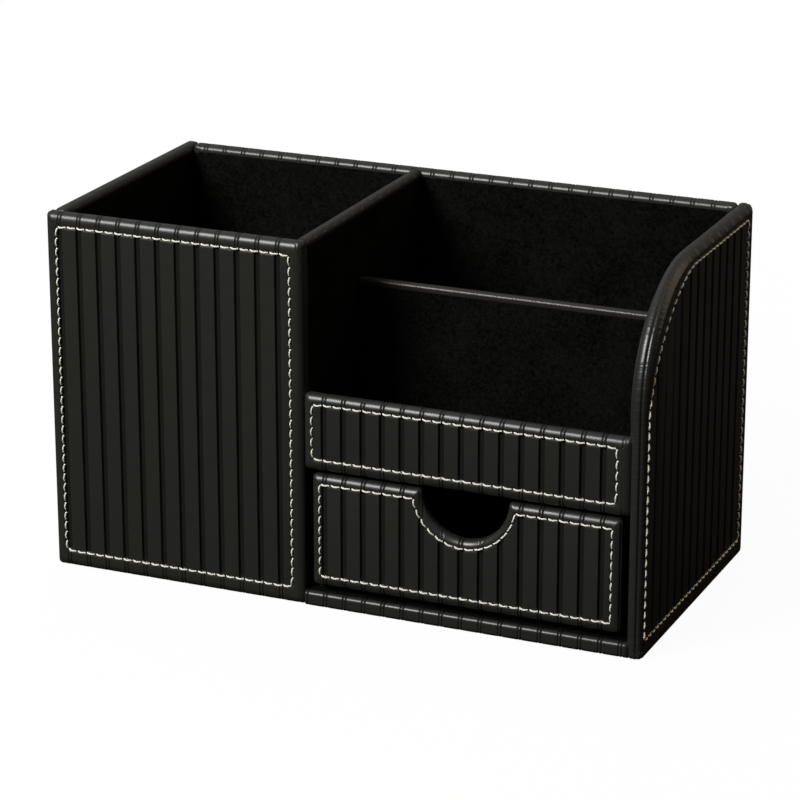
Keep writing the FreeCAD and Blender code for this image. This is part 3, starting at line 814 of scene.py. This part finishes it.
def stitch_tree():
    """Geometry nodes that lay one stitch between each pair of holes along a line."""
    tree = bpy.data.node_groups.new("Saddle stitches", "GeometryNodeTree")
    inputs = {"Line": "Geometry"} | dict.fromkeys(STITCH_SIZES, "Float")
    inputs |= {"Facing": "Vector", "Seed": "Int", "Material": "Material"}
    for name, kind in inputs.items():
        tree.interface.new_socket(name, in_out="INPUT", socket_type="NodeSocket" + kind)
    tree.interface.items_tree["Seed"].default_value = 3
    tree.interface.new_socket("Stitches", in_out="OUTPUT", socket_type="NodeSocketGeometry")
    given = add(tree, "NodeGroupInput").outputs
    # one stitch along X, bowed to the side, its ends pulled down into the holes
    reach, back, sink, crown, side = [
        add(tree, "ShaderNodeMath", {0: given[size], 1: share}, operation="MULTIPLY")
        for size, share in STITCH_SHARES
    ]
    start = add(tree, "ShaderNodeCombineXYZ", {"X": back, "Z": sink})
    middle = add(tree, "ShaderNodeCombineXYZ", {"Y": side, "Z": crown})
    end = add(tree, "ShaderNodeCombineXYZ", {"X": reach, "Z": sink})
    arch = add(tree, "GeometryNodeCurveQuadraticBezier", {
        "Start": start, "Middle": middle, "End": end, "Resolution": 9,
    })
    # thickness falls towards both ends, and the section turns as plies do
    along = add(tree, "GeometryNodeSplineParameter").outputs["Factor"]
    thin = along
    for operation, value in THINNING:
        thin = add(tree, "ShaderNodeMath", {0: thin, 1: value}, operation=operation)
    swell = add(tree, "ShaderNodeMath", {0: 1.0, 1: thin}, operation="SUBTRACT")
    twist = add(tree, "ShaderNodeMath", {0: along, 1: 9.0}, operation="MULTIPLY")
    shaped = add(tree, "GeometryNodeSetCurveRadius", {"Curve": arch, "Radius": swell})
    twisted = add(tree, "GeometryNodeSetCurveTilt", {"Curve": shaped, "Tilt": twist})
    half = add(tree, "ShaderNodeMath", {0: given["Thread"], 1: 0.5}, operation="MULTIPLY")
    ring = add(tree, "GeometryNodeCurvePrimitiveCircle", {"Radius": half, "Resolution": 8})
    oval = add(tree, "GeometryNodeTransform", {"Geometry": ring, "Scale": (1.0, 0.85, 1.0)})
    swept = {"Curve": twisted, "Profile Curve": oval, "Fill Caps": True}
    stitch = add(tree, "GeometryNodeCurveToMesh", swept)
    # a whole number of stitches on each run, with the middle and direction of each gap
    spline = add(tree, "GeometryNodeSplineLength")
    share = add(tree, "ShaderNodeMath", {0: spline, 1: given["Pitch"]}, operation="DIVIDE")
    whole = add(tree, "ShaderNodeMath", {0: share}, operation="ROUND")
    count = add(tree, "ShaderNodeMath", {0: whole, 1: 1.0}, operation="ADD")
    holes = add(tree, "GeometryNodeResampleCurve", {"Curve": given["Line"], "Count": count}, mode="COUNT")
    chain = add(tree, "GeometryNodeCurveToMesh", {"Curve": holes})
    ends = add(tree, "GeometryNodeInputMeshEdgeVertices").outputs
    run = add(tree, "ShaderNodeVectorMath", {
        0: ends["Position 2"], 1: ends["Position 1"],
    }, operation="SUBTRACT")
    keep = add(tree, "GeometryNodeCaptureAttribute", domain="EDGE")
    keep.capture_items.new("VECTOR", "Direction")
    tree.links.new(chain.outputs[0], keep.inputs["Geometry"])
    tree.links.new(run.outputs[0], keep.inputs["Direction"])
    gaps = add(tree, "GeometryNodeMeshToPoints", {"Mesh": keep.outputs["Geometry"]}, mode="EDGES")
    lie = add(tree, "FunctionNodeAlignRotationToVector", {"Vector": keep.outputs["Direction"]}, axis="X")
    face_out = add(tree, "FunctionNodeAlignRotationToVector", {
        "Rotation": lie, "Vector": given["Facing"],
    }, axis="Z", pivot_axis="X")
    jitter = add(tree, "FunctionNodeRandomValue", {
        2: -0.03, 3: 0.03, "Seed": given["Seed"],
    }, data_type="FLOAT")
    lean = add(tree, "ShaderNodeMath", {0: given["Slant"], 1: jitter.outputs[1]}, operation="ADD")
    turned = add(tree, "ShaderNodeCombineXYZ", {"Z": lean})
    turn = add(tree, "FunctionNodeRotateRotation", {
        "Rotation": face_out, "Rotate By": turned,
    }, rotation_space="LOCAL")
    gap = add(tree, "ShaderNodeVectorMath", {0: keep.outputs["Direction"]}, operation="LENGTH")
    spans = {0: gap.outputs["Value"], 1: given["Pitch"]}
    stretch = add(tree, "ShaderNodeMath", spans, operation="DIVIDE")
    scale = add(tree, "ShaderNodeCombineXYZ", {"X": stretch, "Y": 1.0, "Z": 1.0})
    laid = add(tree, "GeometryNodeInstanceOnPoints", {
        "Points": gaps, "Instance": stitch, "Rotation": turn, "Scale": scale,
    })
    real = add(tree, "GeometryNodeRealizeInstances", {"Geometry": laid})
    smooth = add(tree, "GeometryNodeSetShadeSmooth", {"Geometry": real})
    dressed = add(tree, "GeometryNodeSetMaterial", {"Geometry": smooth, "Material": given["Material"]})
    add(tree, "NodeGroupOutput", {0: dressed})
    return tree


def rounded(before, corner, after, radius):
    """Points of a rounded corner between two straight runs."""
    corner = Vector(corner)
    first = corner + (Vector(before) - corner).normalized() * radius
    last = corner + (Vector(after) - corner).normalized() * radius
    shares = [k / 4 for k in range(5)]
    return [first.lerp(corner, t).lerp(corner.lerp(last, t), t) for t in shares]


def stitch_runs(wrap, leather):
    """The stitch line of a panel as runs of (u, v) points that go right or down."""
    left, bottom, right, top = wrap.inset
    right = wrap.wide - right
    top = wrap.high - top
    feet = (Vector((left, bottom)), Vector((right, bottom)))
    heads = (Vector((right, top)), Vector((left, top)))
    if wrap.arc:
        centre = Vector((wrap.arc, wrap.high - wrap.arc))
        reach = Vector((wrap.arc - left, top - centre.y))
        power = 2 / wrap.seam_bend
        steps = 40
        turns = [QUARTER * k / steps for k in range(steps + 1)]
        ways = [(math.cos(a) ** power, math.sin(a) ** power) for a in turns]
        arc = [centre + Vector((-reach.x * x, reach.y * y)) for x, y in ways]
        runs = [[heads[0]] + arc[::-1] + [feet[0]], [heads[0], feet[1]], [feet[0], feet[1]]]
    elif wrap.notch:
        middle = wrap.wide / 2
        reach = wrap.notch_seam
        swing = math.acos((wrap.high - top) / reach)
        steps = 30
        turns = [-swing + 2 * swing * k / steps for k in range(steps + 1)]
        arc = [Vector((middle + reach * math.sin(a), wrap.high - reach * math.cos(a))) for a in turns]
        runs = [[heads[1], arc[0]], arc, [arc[-1], heads[0]]]
        runs += [[heads[0], feet[1]], [feet[0], feet[1]], [heads[1], feet[0]]]
    else:
        # clockwise from the upper left; each corner's bend belongs to the run above or below it
        square = (heads[1], heads[0], feet[1], feet[0])
        around = zip(square[-1:] + square[:-1], square, square[1:] + square[:1])
        bends = [rounded(*three, leather.seam_corner) for three in around]
        runs = [bends[k][2:] + bends[(k + 1) % 4][:3] for k in range(4)]
        runs = runs[:2] + [run[::-1] for run in runs[2:]]
    return runs


def sag(wrap, u, v):
    """How far a place lies below the face because the rolled edge has begun there."""
    edge = min(u, wrap.wide - u, v, wrap.high - v)
    if in_arc(wrap, u, v):
        edge = wrap.arc - math.hypot(wrap.arc - u, v - wrap.high + wrap.arc)
    if wrap.notch:
        edge = min(edge, math.hypot(u - wrap.wide / 2, v - wrap.high) - wrap.notch)
    share = max(wrap.reach - edge, 0.0) / wrap.reach
    return wrap.roll * (1 - (1 - share**wrap.roll_bend) ** (1 / wrap.roll_bend))


def stitches(wrap, tree, leather, stitch, material):
    """Sew a panel's stitch line, as one plain mesh."""
    curve = bpy.data.curves.new(wrap.name + "_line", "CURVE")
    curve.dimensions = "3D"
    for run in stitch_runs(wrap, leather):
        spline = curve.splines.new("POLY")
        spline.points.add(len(run) - 1)
        for point, place in zip(spline.points, run):
            # the thread lies a little way down the dent that it pulls
            depth = 0.3 * leather.seam_depth + sag(wrap, place.x, place.y)
            point.co = [*(wrap.matrix @ Vector((place.x, depth, place.y))), 1.0]
    line = linked(wrap.name + "_line", curve)
    modifier = line.modifiers.new("Stitches", "NODES")
    modifier.node_group = tree
    values = {size: getattr(stitch, size.lower()) for size in STITCH_SIZES}
    values |= {"Facing": wrap.matrix.to_3x3() @ Vector((0, -1, 0)), "Material": material}
    for item in tree.interface.items_tree:
        if item.name in values and item.in_out == "INPUT":
            modifier[item.identifier] = values[item.name]
    bpy.context.view_layer.update()
    evaluated = line.evaluated_get(bpy.context.evaluated_depsgraph_get())
    data = bpy.data.meshes.new_from_object(evaluated)
    data.name = wrap.name + "_stitches"
    piece = linked(wrap.name + "_stitches", data)
    bpy.data.objects.remove(line)
    if not data.polygons:
        raise RuntimeError(f"{wrap.name} has no stitches")
    return piece


# Operators


class ORGANISER_OT_covers(bpy.types.Operator):
    """Wrap the six panels in ribbed leather."""

    bl_idname = "organiser.covers"
    bl_label = "Ribbed covers"

    def execute(self, context):
        leather = context.scene.organiser_leather
        for wrap in wraps():
            mesh = leather_mesh(wrap, leather)
            piece = piece_from(wrap.name + "_leather", mesh, materials()["ribbed_pu_leather"])
            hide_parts(wrap.node)
            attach(piece, wrap.body)
        return {"FINISHED"}


class ORGANISER_OT_edges(bpy.types.Operator):
    """Fold leather over the edges of the partition, the divider and the bay's bottom."""

    bl_idname = "organiser.edges"
    bl_label = "Folded edges"

    def execute(self, context):
        leather = context.scene.organiser_leather
        for fold in folds():
            piece = piece_from(fold.node + "_leather", folded_mesh(fold, leather), materials()[fold.material])
            solidify = piece.modifiers.new("Thickness", "SOLIDIFY")
            solidify.thickness = leather.turned_skin
            solidify.offset = -1
            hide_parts(fold.node)
            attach(piece, "carcass")
        return {"FINISHED"}


class ORGANISER_OT_stitches(bpy.types.Operator):
    """Sew the white saddle stitching round each panel."""

    bl_idname = "organiser.stitches"
    bl_label = "Saddle stitching"

    def execute(self, context):
        scene = context.scene
        tree = stitch_tree()
        for wrap in wraps():
            thread = materials()["sewing_thread"]
            piece = stitches(wrap, tree, scene.organiser_leather, scene.organiser_stitch, thread)
            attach(piece, wrap.body)
        return {"FINISHED"}


class ORGANISER_OT_boards(bpy.types.Operator):
    """Give the linings, felts, boards and drawer box their finishes."""

    bl_idname = "organiser.boards"
    bl_label = "Linings and boards"

    def execute(self, context):
        finishes = {"velvet": "black_velvet", "felt": "black_felt", "board": "fibreboard"}
        finishes["drawer_board"] = "flocked_board"
        for entry in frame["record"]["subparts"]:
            finish = finishes.get(entry["material_slot"])
            if finish:
                node = frame["nodes"][entry["node"]]
                node.data.materials.clear()
                node.data.materials.append(materials()[finish])
        return {"FINISHED"}


class ORGANISER_OT_stage(bpy.types.Operator):
    """Set the pale floor, the lights and the camera."""

    bl_idname = "organiser.stage"
    bl_label = "Stage"

    def execute(self, context):
        stage = context.scene.organiser_stage
        make_floor(stage)
        make_world(stage)
        soft_box("key", stage, DAYLIGHT)
        soft_box("fill", stage, WARM)
        # the light behind shows the back, and gloss doesn't mirror it
        soft_box("back", stage, DAYLIGHT).visible_glossy = False
        make_camera(stage)
        context.scene.view_settings.view_transform = "Standard"
        return {"FINISHED"}


# Half the floor's side, how much of it is seen as plain white, and the colours of the lights.
FLOOR_REACH = 6.0
FLOOR_WHITE = 0.96
DAYLIGHT = (1.0, 1.0, 0.98)
WARM = (1.0, 0.8, 0.58)


def make_floor(stage):
    """A wide pale floor that keeps the shadow, and throws little light back onto the leather."""
    mesh = bmesh.new()
    bmesh.ops.create_grid(mesh, x_segments=1, y_segments=1, size=FLOOR_REACH)
    material = new_material("pale_floor")
    tree = material.node_tree
    seen = add(tree, "ShaderNodeLightPath").outputs["Is Camera Ray"]
    colour = add(tree, "ShaderNodeMix", {
        "Factor": seen, MIX_A: linear(stage.floor_glow), MIX_B: linear(stage.floor),
    }, data_type="RGBA")
    diffuse = add(tree, "ShaderNodeBsdfDiffuse", {"Color": colour.outputs[MIX_OUT]})
    glow = add(tree, "ShaderNodeEmission", {"Strength": 1.0})
    share = add(tree, "ShaderNodeMath", {0: seen, 1: FLOOR_WHITE}, operation="MULTIPLY")
    both = add(tree, "ShaderNodeMixShader", {0: share, 1: diffuse, 2: glow})
    add(tree, "ShaderNodeOutputMaterial", {"Surface": both})
    piece_from("floor", mesh, material)


def make_world(stage):
    """Soft light that grows from the horizon to overhead and falls off to the right, seen as
    white by the camera."""
    world = bpy.data.worlds.new("studio")
    bpy.context.scene.world = world
    world.use_nodes = True
    tree = world.node_tree
    tree.nodes.clear()
    way = add(tree, "ShaderNodeSeparateXYZ", {0: add(tree, "ShaderNodeTexCoord").outputs["Generated"]})
    height = add(tree, "ShaderNodeMapRange", {
        "Value": way.outputs["Z"], "To Min": stage.horizon, "To Max": stage.sky,
    })
    side = add(tree, "ShaderNodeMapRange", {
        "Value": way.outputs["X"], "From Min": -0.8, "From Max": 0.8, "To Min": 1.3, "To Max": 0.1,
    })
    even = add(tree, "ShaderNodeMath", {0: height, 1: side}, operation="MULTIPLY")
    seen = add(tree, "ShaderNodeLightPath").outputs["Is Camera Ray"]
    strength = add(tree, "ShaderNodeMix", {"Factor": seen, "A": even, "B": 1.0}, data_type="FLOAT")
    back = add(tree, "ShaderNodeBackground", {"Strength": strength, "Color": (1, 1, 1, 1)})
    add(tree, "ShaderNodeOutputWorld", {"Surface": back})


def soft_box(name, stage, colour):
    """A square area light that faces the aim, from the settings of its name."""
    data = bpy.data.lights.new(name, "AREA")
    data.energy = getattr(stage, name + "_power")
    data.size = getattr(stage, name + "_size")
    data.color = colour
    light = linked(name, data)
    light.location = getattr(stage, name + "_place")
    light.rotation_euler = (Vector(stage.aim) - light.location).to_track_quat("-Z", "Y").to_euler()
    return light


def make_camera(stage):
    """The camera at the photograph's angle."""
    data = bpy.data.cameras.new("camera")
    data.sensor_width = 36.0
    data.lens = stage.lens
    data.clip_end = 50.0
    camera = linked("camera", data)
    camera.location = stage.camera_place
    camera.rotation_euler = Vector(stage.camera_forward).to_track_quat("-Z", "Y").to_euler()
    bpy.context.scene.camera = camera


class ORGANISER_PT_panel(bpy.types.Panel):
    """Lists the steps that build the organiser."""

    bl_label = "Desk Organiser"
    bl_space_type = "VIEW_3D"
    bl_region_type = "UI"
    bl_category = "Organiser"

    def draw(self, context):
        for step in STEPS:
            self.layout.operator(step.bl_idname)


STEPS = (
    ORGANISER_OT_covers,
    ORGANISER_OT_edges,
    ORGANISER_OT_stitches,
    ORGANISER_OT_boards,
    ORGANISER_OT_stage,
)
SETTINGS = {
    "organiser_leather": LeatherSettings,
    "organiser_stitch": StitchSettings,
    "organiser_lining": LiningSettings,
    "organiser_stage": StageSettings,
}
CLASSES = (*SETTINGS.values(), *STEPS, ORGANISER_PT_panel)


def register():
    for kind in CLASSES:
        bpy.utils.register_class(kind)
    for name, settings in SETTINGS.items():
        setattr(bpy.types.Scene, name, PointerProperty(type=settings))


def unregister():
    for name in SETTINGS:
        delattr(bpy.types.Scene, name)
    for kind in reversed(CLASSES):
        bpy.utils.unregister_class(kind)


def main():
    register()
    bpy.ops.organiser.covers()
    bpy.ops.organiser.edges()
    bpy.ops.organiser.stitches()
    bpy.ops.organiser.boards()
    bpy.ops.organiser.stage()


if __name__ == "__main__":
    main()
